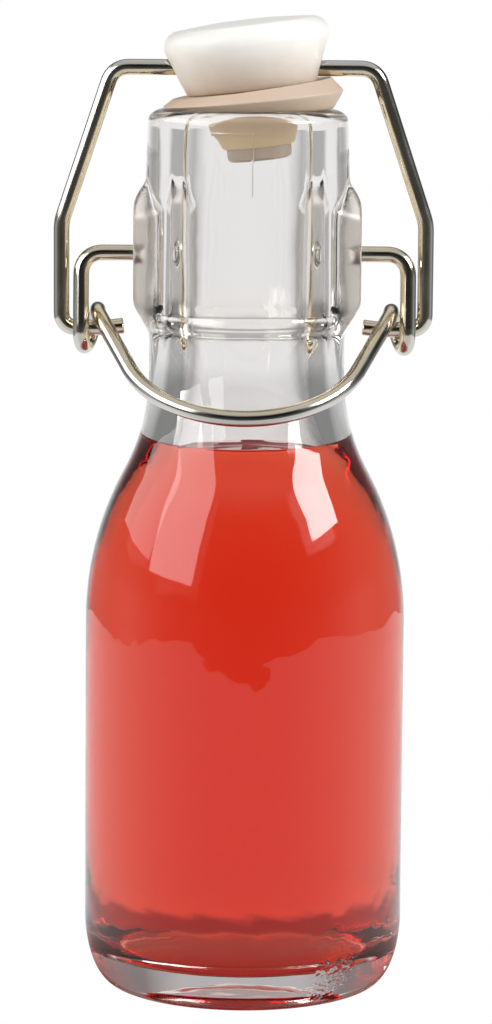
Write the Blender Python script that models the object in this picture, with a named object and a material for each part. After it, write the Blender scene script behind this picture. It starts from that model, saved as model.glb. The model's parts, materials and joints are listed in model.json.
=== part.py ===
"""Small swing-top bottle of clear glass, filled with a red drink. Metres, +Z up, handle towards -Y.

The stopper hangs on a wire bail, the bail hooks into the eyelets of a wire lever, and the lever turns in
two dimples of the bottle's finish. The origin is the middle of the circle on which the bottle stands.
"""

import math

import bmesh
import bpy
from mathutils import Matrix, Vector

MM = 0.001
GAP = 0.3 * MM              # air between pieces that touch on the real bottle

# Bottle, outside
HEIGHT = 105.8 * MM
BODY_R = 19.2 * MM
BEARING_R = 15.6 * MM       # outer edge of the flat ring that the bottle stands on
HEEL_H = 8.6 * MM
SHOULDER_Z = 44.5 * MM      # where the straight body ends
SHOULDER_ARC_R = 38.0 * MM
NECK_ARC_R = 30.0 * MM
NECK_R = 11.4 * MM
COLLAR_Z = 79.8 * MM        # underside of the ring below the finish
COLLAR_H = 2.9 * MM
COLLAR_R = 12.6 * MM
COLLAR_ROUND = 1.0 * MM
FINISH_R = 12.15 * MM
LIP_R = 11.9 * MM
LIP_ROUND_R = 2.2 * MM      # rounding of the lip, as a width
LIP_ROUND_H = 1.4 * MM      # and as a height

# Bottle, inside
BORE_R = 7.1 * MM
MOUTH_ROUND = 0.6 * MM
WALL = 2.0 * MM
FLOOR_Z = 4.2 * MM
FLOOR_ROUND = 5.0 * MM
FLOOR_RISE = 0.8 * MM
PUNT_R = 13.4 * MM
PUNT_RISE = 1.6 * MM

# Lugs with a dimple each, which carry the lever
LUG_X = 13.5 * MM
LUG_HALF_W = 5.9 * MM
LUG_FACE_HALF_W = 5.2 * MM
LUG_BOTTOM_Z = 80.2 * MM
LUG_TOP_Z = 97.4 * MM
LUG_ROOT_X = 9.5 * MM       # inside the wall
LUG_FOOT_X = 12.0 * MM      # from here out the pad tapers to its face
LUG_CHAMFER_H = 2.4 * MM
DIMPLE_DEPTH = 2.2 * MM
DIMPLE_FLARE = 0.15 * MM     # the dimple is this much wider at its mouth
DIMPLE_SIDES = 16
WIRE_IN_DIMPLE = 1.3 * MM

DRINK_Z = 66.0 * MM         # level of the drink

# Wires
WIRE_R = 0.95 * MM
PIVOT = Vector((0.0, 0.0, 88.6 * MM))
EYELET = Vector((0.0, 1.0 * MM, 79.5 * MM))
COIL_R = 2 * WIRE_R + GAP
LEVER_X = 19.5 * MM         # outer strand of the lever
LEVER_BEND_R = 2.4 * MM
LEVER_SHIFT = -0.3 * MM     # side play of the lever in the dimples
BOW_SLOPE = math.radians(30)    # the handle hangs this far below the horizontal
BOW_REACH = 20.9 * MM
BOW_R = 14.2 * MM
COIL_STEP = math.radians(18)
COIL_PITCH = 2 * WIRE_R + 0.1 * MM
CROSSBAR = Vector((0.0, 0.0, 110.65 * MM))
BAIL_SHIFT = -0.45 * MM     # side play of the bail in the eyelets
BAIL_TOP_X = 15.6 * MM
BAIL_X = 21.75 * MM
BAIL_KINK_Z = 92.2 * MM
BAIL_BEND_X = 16.3 * MM     # inner side of the eyelet, from where the hook's end rises a little
BAIL_END_X = 14.3 * MM
BAIL_END_RISE = 0.25 * MM
BAIL_CORNER_R = 2.4 * MM
BAIL_HOOK_R = 1.6 * MM

# Stopper, measured along its own leaning axis from the crossbar, down is negative
STOPPER_X = 0.1 * MM
STOPPER_LEAN = math.radians(7.2)    # the stopper hangs askew on the wire, its low side at -X
HEAD_R = 9.8 * MM
HEAD_FOOT_R = 7.8 * MM
HEAD_FOOT_H = -2.5 * MM
HEAD_BRIM_H = 3.3 * MM
HEAD_TOP_H = 5.7 * MM
HEAD_ROUND_R = 2.0 * MM
STEM_R = 3.9 * MM
STEM_END_H = -10.9 * MM
HOLE_R = WIRE_R + GAP
GASKET_R = 10.1 * MM
GASKET_BORE_R = STEM_R + 0.4 * MM

TURN_STEPS = 48
BEND_STEP = math.radians(17)


def arc(centre, radii, start, end, steps):
    """Points of an ellipse's arc about centre, angles from +r towards +z, both ends included."""
    points = []
    for i in range(steps + 1):
        angle = start + (end - start) * i / steps
        points.append((centre[0] + radii[0] * math.cos(angle), centre[1] + radii[1] * math.sin(angle)))
    return points


def shoulder(body_r, neck_r, body_z, convex_r, concave_r):
    """Two arcs that meet at one slope: out of the neck, then over into the body, from top to bottom."""
    angle = math.acos(1 - (body_r - neck_r) / (convex_r + concave_r))
    neck_z = body_z + (convex_r + concave_r) * math.sin(angle)
    upper = arc((neck_r + concave_r, neck_z), (concave_r, concave_r), math.pi, math.pi + angle, 5)
    lower = arc((body_r - convex_r, body_z), (convex_r, convex_r), angle, 0, 7)
    return upper + lower[1:]


def outer_outline():
    """Outside of the bottle from the lip's crown down to the middle of the punt."""
    lip = arc((LIP_R - LIP_ROUND_R, HEIGHT - LIP_ROUND_H), (LIP_ROUND_R, LIP_ROUND_H), math.pi / 2, 0, 5)
    finish = [(FINISH_R, LUG_TOP_Z), (FINISH_R, COLLAR_Z + COLLAR_H)]
    half_h = COLLAR_H / 2
    collar = arc((COLLAR_R - COLLAR_ROUND, COLLAR_Z + half_h), (COLLAR_ROUND, half_h), 1.2, -1.5, 5)
    curve = shoulder(BODY_R, NECK_R, SHOULDER_Z, SHOULDER_ARC_R, NECK_ARC_R)
    heel = arc((BEARING_R, HEEL_H), (BODY_R - BEARING_R, HEEL_H), 0, -math.pi / 2, 8)
    punt = [(PUNT_R, 0.0), (PUNT_R * 0.93, PUNT_RISE * 0.5), (PUNT_R * 0.5, PUNT_RISE * 0.9)]
    punt.append((0.0, PUNT_RISE))
    return lip + finish + collar + [(NECK_R, COLLAR_Z)] + curve + heel + punt


def inner_outline(offset=0.0):
    """Inside of the bottle from the bore down to the middle of the floor, offset into the hollow."""
    body_r = BODY_R - WALL - offset
    bore_r = BORE_R - offset
    curve = shoulder(body_r, bore_r, SHOULDER_Z - 1.5 * MM, SHOULDER_ARC_R, NECK_ARC_R * 0.7)
    floor_z = FLOOR_Z + offset
    corner_r = FLOOR_ROUND - offset
    corner = arc((body_r - corner_r, floor_z + corner_r), (corner_r, corner_r), 0, -math.pi / 2, 5)
    return curve + corner + [(body_r * 0.35, floor_z + FLOOR_RISE * 0.8), (0.0, floor_z + FLOOR_RISE)]


def finish_material(name, colour, roughness, metallic=0.0, transmission=0.0):
    """Principled material with the piece's plain colour and shine."""
    material = bpy.data.materials.new(name)
    material.use_nodes = True
    shader = material.node_tree.nodes["Principled BSDF"]
    shader.inputs["Base Color"].default_value = (*colour, 1.0)
    shader.inputs["Roughness"].default_value = roughness
    shader.inputs["Metallic"].default_value = metallic
    shader.inputs["Transmission Weight"].default_value = transmission
    return material


def add(name, data, material=None):
    """Object in the scene from a mesh or a curve."""
    thing = bpy.data.objects.new(name, data)
    bpy.context.scene.collection.objects.link(thing)
    if material:
        data.materials.append(material)
    return thing


def joint_empty(name, place, parent=None):
    """Empty on a joint's axis, which carries the moving pieces."""
    empty = bpy.data.objects.new(name, None)
    bpy.context.scene.collection.objects.link(empty)
    empty.empty_display_size = 5 * MM
    empty.location = place
    carry(empty, parent)
    return empty


def carry(thing, parent):
    """Parents a thing and keeps it where it is."""
    if parent:
        bpy.context.view_layer.update()
        thing.parent = parent
        thing.matrix_parent_inverse = parent.matrix_world.inverted()


def turned(name, outline, material=None):
    """Body turned about Z from an outline whose two ends lie on the axis."""
    mesh = bpy.data.meshes.new(name)
    verts = [(r, 0.0, z) for r, z in outline]
    edges = [(i, i + 1) for i in range(len(verts) - 1)]
    mesh.from_pydata(verts, edges, [])
    body = add(name, mesh, material)
    screw = body.modifiers.new("Turn", "SCREW")
    screw.steps = TURN_STEPS
    screw.render_steps = TURN_STEPS
    screw.use_merge_vertices = True
    screw.merge_threshold = 1e-5
    screw.use_smooth_shade = True
    return body


def boolean(body, tool, operation):
    """Union or cut by another object, which is then only a guide."""
    cut = body.modifiers.new(tool.name, "BOOLEAN")
    cut.operation = operation
    cut.object = tool
    cut.solver = "EXACT"
    tool.hide_render = True
    tool.display_type = "WIRE"


def lug(side):
    """Pad on the finish, pointed at its top, whose flat face carries the dimple."""
    low, high = LUG_BOTTOM_Z, LUG_TOP_Z
    foot = [  # half of the pad's outline where it leaves the finish, as y and z
        (4.5 * MM, low),
        (LUG_HALF_W, low + 1.8 * MM),
        (LUG_HALF_W, high - 3.8 * MM),
        (2.6 * MM, high),
    ]
    face = [  # and half of its flat face
        (4.4 * MM, low + 2.6 * MM),
        (LUG_FACE_HALF_W, low + 2.9 * MM),
        (LUG_FACE_HALF_W, high - 4.4 * MM),
        (1.8 * MM, high - LUG_CHAMFER_H),
    ]
    bm = bmesh.new()
    for x, outline in ((LUG_ROOT_X, foot), (LUG_FOOT_X, foot), (LUG_X, face)):
        for y, z in outline:
            bm.verts.new((side * x, y, z))
            bm.verts.new((side * x, -y, z))
    bmesh.ops.convex_hull(bm, input=bm.verts)
    bmesh.ops.dissolve_limit(bm, angle_limit=0.01, verts=bm.verts, edges=bm.edges)
    bmesh.ops.recalc_face_normals(bm, faces=bm.faces)
    mesh = bpy.data.meshes.new("lug")
    bm.to_mesh(mesh)
    bm.free()
    return add("lug_right" if side > 0 else "lug_left", mesh)


def dimple(side):
    """Blind hole in the lug's face with a rounded end, a little wider than the wire."""
    proud = 1.5 * MM
    outline = [(0.0, proud), (HOLE_R + DIMPLE_FLARE, proud), (HOLE_R, -DIMPLE_DEPTH * 0.7)]
    outline += [(HOLE_R * 0.7, -DIMPLE_DEPTH), (0.0, -DIMPLE_DEPTH)]
    tool = turned("dimple_right" if side > 0 else "dimple_left", outline)
    tool.modifiers["Turn"].steps = DIMPLE_SIDES
    tool.modifiers["Turn"].render_steps = DIMPLE_SIDES
    outward = Matrix.Rotation(side * math.pi / 2, 4, "Y")
    tool.matrix_world = Matrix.Translation((side * LUG_X, 0, PIVOT.z)) @ outward
    return tool


def bottle():
    """Glass: one turned wall with the two lugs on its finish."""
    mouth_centre = (BORE_R + MOUTH_ROUND, HEIGHT - MOUTH_ROUND)
    mouth = arc(mouth_centre, (MOUTH_ROUND, MOUTH_ROUND), math.pi, math.pi / 2, 3)
    outline = inner_outline()[::-1] + mouth + outer_outline()
    clear = finish_material("clear_glass", (0.95, 0.97, 0.96), 0.02, transmission=0.9)
    glass = turned("glass_bottle", outline, clear)
    for side in (1, -1):
        boolean(glass, lug(side), "UNION")
    for side in (1, -1):
        boolean(glass, dimple(side), "DIFFERENCE")
    return glass


def drink():
    """Drink up to its level, clear of the wall by the gap."""
    outline = [(r, z) for r, z in inner_outline(GAP) if z < DRINK_Z]
    above = [(r, z) for r, z in inner_outline(GAP) if z >= DRINK_Z][-1]
    first = outline[0]
    share = (DRINK_Z - first[1]) / (above[1] - first[1])
    level_r = first[0] + (above[0] - first[0]) * share
    level = [(0.0, DRINK_Z), (level_r, DRINK_Z)]
    red = finish_material("red_drink", (0.60, 0.03, 0.02), 0.05, transmission=0.5)
    return turned("drink", level + outline, red)


def rounded(points, radii):
    """Path through corner points whose inner corners are rounded by arcs of the given radii."""
    path = [points[0]]
    for before, corner, after, radius in zip(points, points[1:], points[2:], radii):
        back = (before - corner).normalized()
        ahead = (after - corner).normalized()
        half = back.angle(ahead) / 2
        centre = corner + (back + ahead).normalized() * radius / math.sin(half)
        start = corner + back * radius / math.tan(half)
        turn = math.pi - 2 * half
        axis = back.cross(ahead).normalized()
        steps = max(2, round(turn / BEND_STEP))
        for i in range(steps + 1):
            path.append(centre + Matrix.Rotation(-turn * i / steps, 3, axis) @ (start - centre))
    return path + [points[-1]]


def wire(name, path, parent):
    """Round wire with flat ends along a path, whose object lies at its parent's axis."""
    data = bpy.data.curves.new(name, "CURVE")
    data.dimensions = "3D"
    data.bevel_depth = WIRE_R
    data.bevel_resolution = 3
    data.use_fill_caps = True
    spline = data.splines.new("POLY")
    spline.points.add(len(path) - 1)
    for point, place in zip(spline.points, path):
        point.co = (*(place - parent.location), 1.0)
    steel = finish_material(name + "_steel", (0.62, 0.58, 0.50), 0.22, 1.0)
    thing = add(name, data, steel)
    thing.location = parent.location
    carry(thing, parent)
    return thing


def lever_half():
    """Right half of the lever from its end in the dimple, round the eyelet, to the middle of the handle."""
    end_x = LUG_X - WIRE_IN_DIMPLE
    coil_front = Vector((LEVER_X, EYELET.y - COIL_R, EYELET.z))
    arm_end = Vector((LEVER_X, 0, PIVOT.z))
    arm = rounded([Vector((end_x, 0, PIVOT.z)), arm_end, coil_front], [LEVER_BEND_R])[:-1]
    sweep = math.radians(270) + BOW_SLOPE
    coil = []
    steps = math.ceil(sweep / COIL_STEP)
    for i in range(steps + 1):
        turn = sweep * i / steps
        inward = COIL_PITCH * (0.5 - 0.5 * math.cos(math.pi * i / steps))
        y = EYELET.y - COIL_R * math.cos(turn)
        z = EYELET.z - COIL_R * math.sin(turn)
        coil.append(Vector((LEVER_X - inward, y, z)))
    return arm + coil + handle_half(coil[-1])


def handle_half(start):
    """Straight leg from the eyelet and half of the bow it runs into, in the handle's sloping plane."""
    centre_s = BOW_REACH - BOW_R
    to_centre = math.atan2(centre_s, -start.x)
    distance = math.hypot(start.x, centre_s)
    leg = math.sqrt(distance**2 - BOW_R**2)
    heading = to_centre - math.asin(BOW_R / distance)
    touch = Vector((start.x + leg * math.cos(heading), leg * math.sin(heading)))
    angle = math.atan2(touch.y - centre_s, touch.x)
    steps = 9
    flat = [(start.x * 0.6 + touch.x * 0.4, touch.y * 0.4)]
    for i in range(steps + 1):
        a = angle + (math.pi / 2 - angle) * i / steps
        flat.append((BOW_R * math.cos(a), centre_s + BOW_R * math.sin(a)))
    forward, down = math.cos(BOW_SLOPE), math.sin(BOW_SLOPE)
    return [Vector((x, start.y - s * forward, start.z - s * down)) for x, s in flat]


def bail_half():
    """Right half of the bail from the middle of the crossbar to its end inside the eyelet."""

    def on_plane(x, z):
        share = (z - EYELET.z) / (CROSSBAR.z - EYELET.z)
        return Vector((x, EYELET.y + (CROSSBAR.y - EYELET.y) * share, z))

    corners = [
        on_plane(0, CROSSBAR.z),
        on_plane(BAIL_TOP_X, CROSSBAR.z),
        on_plane(BAIL_X, BAIL_KINK_Z),
        on_plane(BAIL_X, EYELET.z),
        on_plane(BAIL_BEND_X, EYELET.z),
        on_plane(BAIL_END_X, EYELET.z + BAIL_END_RISE),
    ]
    return rounded(corners, [BAIL_CORNER_R, BAIL_CORNER_R * 2, BAIL_HOOK_R, BAIL_CORNER_R])


def both_halves(half, shift=0.0):
    """Whole path from its right half, which ends or starts on the middle plane."""
    ordered = half if abs(half[-1].x) < abs(half[0].x) else half[::-1]
    mirrored = [Vector((-p.x, p.y, p.z)) for p in ordered[:-1]]
    whole = ordered + mirrored[::-1]
    return [p + Vector((shift, 0, 0)) for p in whole]


def stopper_frame():
    """Place of the stopper: on the crossbar, leaning towards -X."""
    lean = Matrix.Rotation(-STOPPER_LEAN, 4, "Y")
    return Matrix.Translation((STOPPER_X, CROSSBAR.y, CROSSBAR.z)) @ lean


def stopper_head(parent):
    """White head with its stem, and the hole for the wire, which widens to both sides."""
    brim = arc((HEAD_R - HEAD_ROUND_R, HEAD_BRIM_H), (HEAD_ROUND_R, HEAD_ROUND_R), 1.35, -0.25, 5)
    crown = [(0.0, HEAD_TOP_H), (HEAD_R * 0.4, HEAD_TOP_H - 0.1 * MM)]
    edge = 0.3 * MM
    foot = [(HEAD_FOOT_R, HEAD_FOOT_H + edge), (HEAD_FOOT_R - edge, HEAD_FOOT_H), (STEM_R, HEAD_FOOT_H)]
    stem = [(STEM_R, STEM_END_H + edge), (STEM_R - edge, STEM_END_H), (0.0, STEM_END_H)]
    white = finish_material("white_plastic", (0.88, 0.86, 0.82), 0.35)
    head = turned("stopper_head", crown + brim + foot + stem, white)
    boolean(head, wire_hole(), "DIFFERENCE")
    head.matrix_world = stopper_frame()
    carry(head, parent)
    return head


def wire_hole():
    """Cutter with the hole's round waist in the middle and its mouths, tall slots, at both ends."""
    half_length = HEAD_R + 1 * MM
    sides = 16
    bm = bmesh.new()
    rings = []
    for x in (-half_length, 0.0, half_length):
        stretch = abs(x) * math.tan(STOPPER_LEAN)
        ring = []
        for i in range(sides):
            angle = 2 * math.pi * (i + 0.5) / sides
            z = HOLE_R * math.sin(angle) + math.copysign(stretch, math.sin(angle))
            ring.append(bm.verts.new((x, HOLE_R * math.cos(angle), z)))
        rings.append(ring)
    for ring, following in zip(rings, rings[1:]):
        for i in range(sides):
            j = (i + 1) % sides
            bm.faces.new((ring[i], ring[j], following[j], following[i]))
    bm.faces.new(rings[0])
    bm.faces.new(rings[-1][::-1])
    bmesh.ops.recalc_face_normals(bm, faces=bm.faces)
    mesh = bpy.data.meshes.new("wire_hole")
    bm.to_mesh(mesh)
    bm.free()
    tool = add("wire_hole", mesh)
    tool.matrix_world = stopper_frame()
    return tool


def gasket(parent):
    """Rubber washer with a sharp rim and a plug in the mouth, squeezed flatter on the low side."""
    top_h = HEAD_FOOT_H - GAP
    rest_h = HEIGHT + GAP - CROSSBAR.z
    plain = STOPPER_LEAN
    rings = [  # radius, height on the axis, lean of the ring's plane
        (GASKET_BORE_R, top_h, plain),
        (8.2 * MM, top_h, plain),
        (GASKET_R, top_h - 1.0 * MM, plain * 0.7),
        (9.2 * MM, rest_h, 0.0),
        (5.4 * MM, rest_h, 0.0),
        (5.3 * MM, rest_h - 0.5 * MM, plain),
        (4.95 * MM, -7.9 * MM, plain),
        (4.65 * MM, -9.5 * MM, plain),
        (GASKET_BORE_R, -9.5 * MM, plain),
    ]
    bm = bmesh.new()
    loops = []
    for radius, height, lean in rings:
        centre = stopper_frame() @ Vector((0, 0, height))
        plane = Matrix.Rotation(-lean, 3, "Y")
        loop = []
        for i in range(TURN_STEPS):
            angle = 2 * math.pi * i / TURN_STEPS
            offset = Vector((radius * math.cos(angle), radius * math.sin(angle), 0))
            loop.append(bm.verts.new(centre + plane @ offset))
        loops.append(loop)
    for loop, following in zip(loops, loops[1:] + loops[:1]):
        for i in range(TURN_STEPS):
            j = (i + 1) % TURN_STEPS
            bm.faces.new((loop[i], loop[j], following[j], following[i]))
    bmesh.ops.recalc_face_normals(bm, faces=bm.faces)
    mesh = bpy.data.meshes.new("stopper_gasket")
    bm.to_mesh(mesh)
    bm.free()
    mesh.shade_smooth()
    mesh.set_sharp_from_angle(angle=math.radians(30))
    washer = add("stopper_gasket", mesh, finish_material("beige_rubber", (0.62, 0.47, 0.40), 0.55))
    carry(washer, parent)
    return washer


def main():
    for thing in list(bpy.data.objects):
        bpy.data.objects.remove(thing)
    bottle()
    drink()
    lever_axis = joint_empty("lever_axis", PIVOT)
    bail_axis = joint_empty("bail_axis", EYELET, lever_axis)
    stopper_axis = joint_empty("stopper_axis", CROSSBAR, bail_axis)
    wire("lever_wire", both_halves(lever_half(), LEVER_SHIFT), lever_axis)
    wire("bail_wire", both_halves(bail_half(), BAIL_SHIFT), bail_axis)
    stopper_head(stopper_axis)
    gasket(stopper_axis)


main()
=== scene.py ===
"""Small swing-top bottle of clear glass, filled with a red drink and shut by its wire closure.

The sections follow the bottle as it is put together. Sizes are in millimetres until a mesh is made, +Z is
up, the handle hangs towards -Y, and the lugs point to +X and -X.
"""

import json

import bpy
import numpy as np
from mathutils import Matrix, Vector


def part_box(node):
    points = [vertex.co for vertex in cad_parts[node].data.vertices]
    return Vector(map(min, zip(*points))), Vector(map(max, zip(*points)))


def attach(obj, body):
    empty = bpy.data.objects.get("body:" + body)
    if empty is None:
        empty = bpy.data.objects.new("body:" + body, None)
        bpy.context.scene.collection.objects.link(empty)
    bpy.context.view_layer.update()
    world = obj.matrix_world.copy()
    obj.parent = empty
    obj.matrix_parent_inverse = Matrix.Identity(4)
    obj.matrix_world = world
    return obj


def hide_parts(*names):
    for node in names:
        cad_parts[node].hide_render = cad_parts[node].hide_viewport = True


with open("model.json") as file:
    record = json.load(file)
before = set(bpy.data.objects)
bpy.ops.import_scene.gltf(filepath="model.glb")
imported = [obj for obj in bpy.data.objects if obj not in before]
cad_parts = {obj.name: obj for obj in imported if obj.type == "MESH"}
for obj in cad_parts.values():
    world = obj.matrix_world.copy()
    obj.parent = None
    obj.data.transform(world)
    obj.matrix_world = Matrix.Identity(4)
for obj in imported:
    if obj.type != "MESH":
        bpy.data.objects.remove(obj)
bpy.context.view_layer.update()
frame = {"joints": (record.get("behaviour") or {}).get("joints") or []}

# ---------------------------------------------------------------------------------------------------------
# Bottle. One piece of pressed and blown flint glass: thick neck whose bore narrows a little upwards, a lug
# with a dimple on either side of the finish, heavy base with a shallow punt. The mould leaves a fine seam.
# ---------------------------------------------------------------------------------------------------------

mm = 0.001
hinges = {joint["name"]: np.round(np.array(joint["pos_m"]) / mm, 3) for joint in frame["joints"]}
body_r, _, height = np.round(np.array(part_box("glass_bottle")[1]) / mm, 3)
pivot_z = hinges["lever_swing"][2]
bore_r = 7.1
bore_low_r = 7.4
mouth_round = 0.6
neck_r = 11.7
finish_r = 12.15
wall = 2.0
lug_x = 13.5
drink_z = 65.4
climb = 0.65


def bend(centre, radii, start, end, steps):
    """Arc of an ellipse as (r, z) rows: centre plus radii times cosine and sine of start to end."""
    turn = np.linspace(start, end, steps)
    return np.stack([centre[0] + radii[0] * np.cos(turn), centre[1] + radii[1] * np.sin(turn)], axis=1)


def shoulder(low_r, high_r, low_z, convex_r, concave_r):
    """Two arcs of circles that meet at one slope, from the neck down to the body."""
    angle = np.arccos(1 - (low_r - high_r) / (convex_r + concave_r))
    high_z = low_z + (convex_r + concave_r) * np.sin(angle)
    upper = bend((high_r + concave_r, high_z), (concave_r, concave_r), np.pi, np.pi + angle, 60)
    lower = bend((low_r - convex_r, low_z), (convex_r, convex_r), angle, 0, 60)
    return np.concatenate([upper, lower])


def length_along(points):
    """Distance of each point from the first, along the line through them."""
    steps = np.linalg.norm(np.diff(points, axis=0), axis=1)
    return np.concatenate([[0.0], np.cumsum(steps)])


def at_distances(points, where):
    """Points of the same line at the given distances along it, by straight interpolation."""
    along = length_along(points)
    return np.stack([np.interp(where, along, column) for column in points.T], axis=1)


def evened(points, gap):
    """The same line with its points a constant gap apart."""
    total = length_along(points)[-1]
    return at_distances(points, np.linspace(0, total, int(round(total / gap)) + 1))


def eased(points, width):
    """The line with its corners softened: each point is the mean of its neighbours under a bell curve."""
    reach = np.arange(-3 * width, 3 * width + 1)
    bell = np.exp(-0.5 * (reach / width) ** 2)
    padded = np.pad(points, ((3 * width, 3 * width), (0, 0)), mode="reflect", reflect_type="odd")
    return np.stack([np.convolve(column, bell / bell.sum(), "valid") for column in padded.T], axis=1)


def spread(low, high, density):
    """Numbers from low to high, as many per unit as density says: equal steps of its running integral."""
    fine = np.linspace(low, high, 6000)
    rate = density(fine)
    total = np.concatenate([[0.0], np.cumsum(0.5 * (rate[1:] + rate[:-1]) * np.diff(fine))])
    return np.interp(np.linspace(0, total[-1], int(total[-1]) + 1), total, fine)


def bend_rate(points, least, cap=3.0):
    """Rows per millimetre of a line: the least, plus a power of its turn in radians per millimetre."""
    heading = np.unwrap(np.arctan2(np.gradient(points[:, 1]), np.gradient(points[:, 0])))
    turning = np.abs(np.gradient(heading) / np.gradient(length_along(points)))
    return least + 5.0 * np.minimum(turning, cap) ** 0.75


def rows_along(points, rate, inset):
    """Distances along a line where a mesh has its rows, as close as the rate says, inset at both ends."""
    along = length_along(points)
    return spread(inset, along[-1] - inset, lambda where: np.interp(where, along, rate))


def skin(name, grid, ends, sharp=40.0):
    """Mesh over a grid of points, rows along and columns round, closed round and with a fan to each end.

    Its UV map runs once round in u and once along in v. Edges sharper than so many degrees stay sharp.
    """
    rows, columns = grid.shape[:2]
    verts = np.concatenate([grid.reshape(-1, 3), np.array(ends)]) * mm
    row = np.arange(rows - 1)[:, None] * columns
    column = np.arange(columns)[None, :]
    beside = (column + 1) % columns
    quads = np.stack([row + column, row + beside, row + columns + beside, row + columns + column], axis=2)
    first, last = rows * columns, rows * columns + 1
    base = (rows - 1) * columns
    top_fan = np.stack([np.full(columns, first), beside[0], column[0]], axis=1)
    end_fan = np.stack([np.full(columns, last), base + column[0], base + beside[0]], axis=1)
    faces = quads.reshape(-1, 4).tolist() + top_fan.tolist() + end_fan.tolist()
    mesh = bpy.data.meshes.new(name)
    mesh.from_pydata(verts.tolist(), [], faces)
    u = np.broadcast_to(column, (rows - 1, columns))
    v = np.broadcast_to(np.arange(rows - 1)[:, None], (rows - 1, columns))
    quad_u = np.stack([u, u + 1, u + 1, u], axis=2).reshape(-1) / columns
    quad_v = np.stack([v, v, v + 1, v + 1], axis=2).reshape(-1) / (rows - 1)
    fan_u = np.stack([column[0] + 0.5, column[0] + 1, column[0]], axis=1).reshape(-1) / columns
    end_u = np.stack([column[0] + 0.5, column[0], column[0] + 1], axis=1).reshape(-1) / columns
    uv = np.stack(
        [
            np.concatenate([quad_u, fan_u, end_u]),
            np.concatenate([quad_v, np.zeros(3 * columns), np.ones(3 * columns)]),
        ],
        axis=1,
    )
    mesh.uv_layers.new(name="UVMap").data.foreach_set("uv", uv.ravel())
    mesh.shade_smooth()
    mesh.set_sharp_from_angle(angle=np.radians(sharp))
    return mesh


def mark(mesh, name, values):
    """Gives each point of the mesh a number that its material can read by name."""
    mesh.attributes.new(name, "FLOAT", "POINT").data.foreach_set("value", np.asarray(values, np.float32))


def piece(name, mesh, material, body, node):
    """Puts the mesh into the scene with its finish, on its body and in place of a solid."""
    thing = bpy.data.objects.new(name, mesh)
    bpy.context.scene.collection.objects.link(thing)
    mesh.materials.append(material)
    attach(thing, body)
    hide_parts(node)


def round_about(r, z, angles):
    """Grid of points at radius r and height z, turned to each angle about the bottle's axis."""
    return np.stack([r * np.cos(angles), r * np.sin(angles), z + 0 * angles], axis=2)


def inner_line(offset=0.0):
    """Inside of the glass from the middle of the floor up to the bore, moved into the glass by offset.

    The floor swells as a power of a parabola, the corner is a quarter of an ellipse, and the shoulder's two
    arcs run beside those of the outside, so that the wall stays thin there.
    """
    low_r, high_r = body_r - wall + offset, bore_low_r + offset
    corner_r, corner_h, floor_z, rise = 6.6 + offset, 8.8, 4.1 - offset, 0.8
    floor_r = np.linspace(0, low_r - corner_r, 30)
    crown = np.stack([floor_r, floor_z + rise * (1 - (floor_r / floor_r[-1]) ** 2) ** 1.5], axis=1)
    corner = bend((low_r - corner_r, floor_z + corner_h), (corner_r, corner_h), -np.pi / 2, 0, 50)
    upwards = shoulder(low_r, high_r, low_z=42.8, convex_r=38.0, concave_r=27.0)[::-1]
    bore = np.array([(bore_r + offset, height - mouth_round)])
    return np.concatenate([crown, corner, upwards, bore])


def outer_line():
    """Outside from the mouth over the lip, finish, ring, neck, shoulder and heel to the punt's middle.

    Each round stretch is an arc of an ellipse, and the punt is a low parabola.
    """
    mouth_centre = (bore_r + mouth_round, height - mouth_round)
    mouth = bend(mouth_centre, (mouth_round, mouth_round), np.pi, np.pi / 2, 12)
    lip = bend((9.7, height - 1.4), (2.2, 1.4), np.pi / 2, 0, 30)
    finish = np.array([(finish_r, 97.4), (finish_r, 82.4)])
    ring = bend((11.75, 80.9), (0.6, 1.1), 0.9, -1.4, 24)
    neck = np.array([(neck_r, 79.2)])
    downwards = shoulder(body_r, neck_r, low_z=44.5, convex_r=38.0, concave_r=24.0)
    heel_r, heel_h = 15.6, 8.6
    heel = bend((heel_r, heel_h), (body_r - heel_r, heel_h), 0, -np.pi / 2, 50)
    foot = np.array([(13.4, 0.0)])
    punt_r = np.linspace(12.2, 0, 24)
    punt = np.stack([punt_r, 2.1 + 0.7 * (1 - (punt_r / punt_r[0]) ** 2)], axis=1)
    return np.concatenate([mouth, lip, finish, ring, neck, downwards, heel, foot, punt])


def lug_distance(angles, z):
    """How far out the lugs reach at each angle and height.

    Each lug is the space under a few planes. The nearest plane counts, and edges are rounded, because the
    minimum is a soft one: the log of the sum of e to the minus distance.
    """
    a, b = np.abs(np.cos(angles)), np.abs(np.sin(angles))
    planes = [  # outward normal in x, y, z and a point of the plane
        ((1.0, 0.0, 0.0), (lug_x, 0.0, 0.0)),
        ((0.7, 1.5, 0.0), (12.0, 5.9, 0.0)),
        ((2.6, 0.0, -1.5), (12.0, 0.0, 80.2)),
        ((2.4, 0.0, 1.5), (12.0, 0.0, 97.4)),
        ((0.9, 1.3, 1.13), (12.0, 5.9, 93.6)),
        ((1.4, 1.5, -1.1), (12.0, 5.9, 82.0)),
    ]
    typical, soft = 13.0, 0.16
    total = 0.0
    for normal, point in planes:
        reach = (np.dot(normal, point) - normal[2] * z) / (normal[0] * a + normal[1] * b + 1e-6)
        total = total + np.exp(-np.clip(reach - typical, -6, 20) / soft)
    return typical - soft * np.log(total)


def dimple_depth(angles, z):
    """Depth of the lever's dimple in the lug, a blind round hole, by the distance from its middle."""
    away = np.hypot(lug_x * np.sin(angles), z - pivot_z)
    edge = [0.0, 0.8, 1.0, 1.18, 1.27, 1.36, 1.5, 1.75]
    deep = [2.2, 2.17, 2.0, 1.5, 0.8, 0.22, 0.04, 0.0]
    return np.interp(away, edge, deep)


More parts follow.
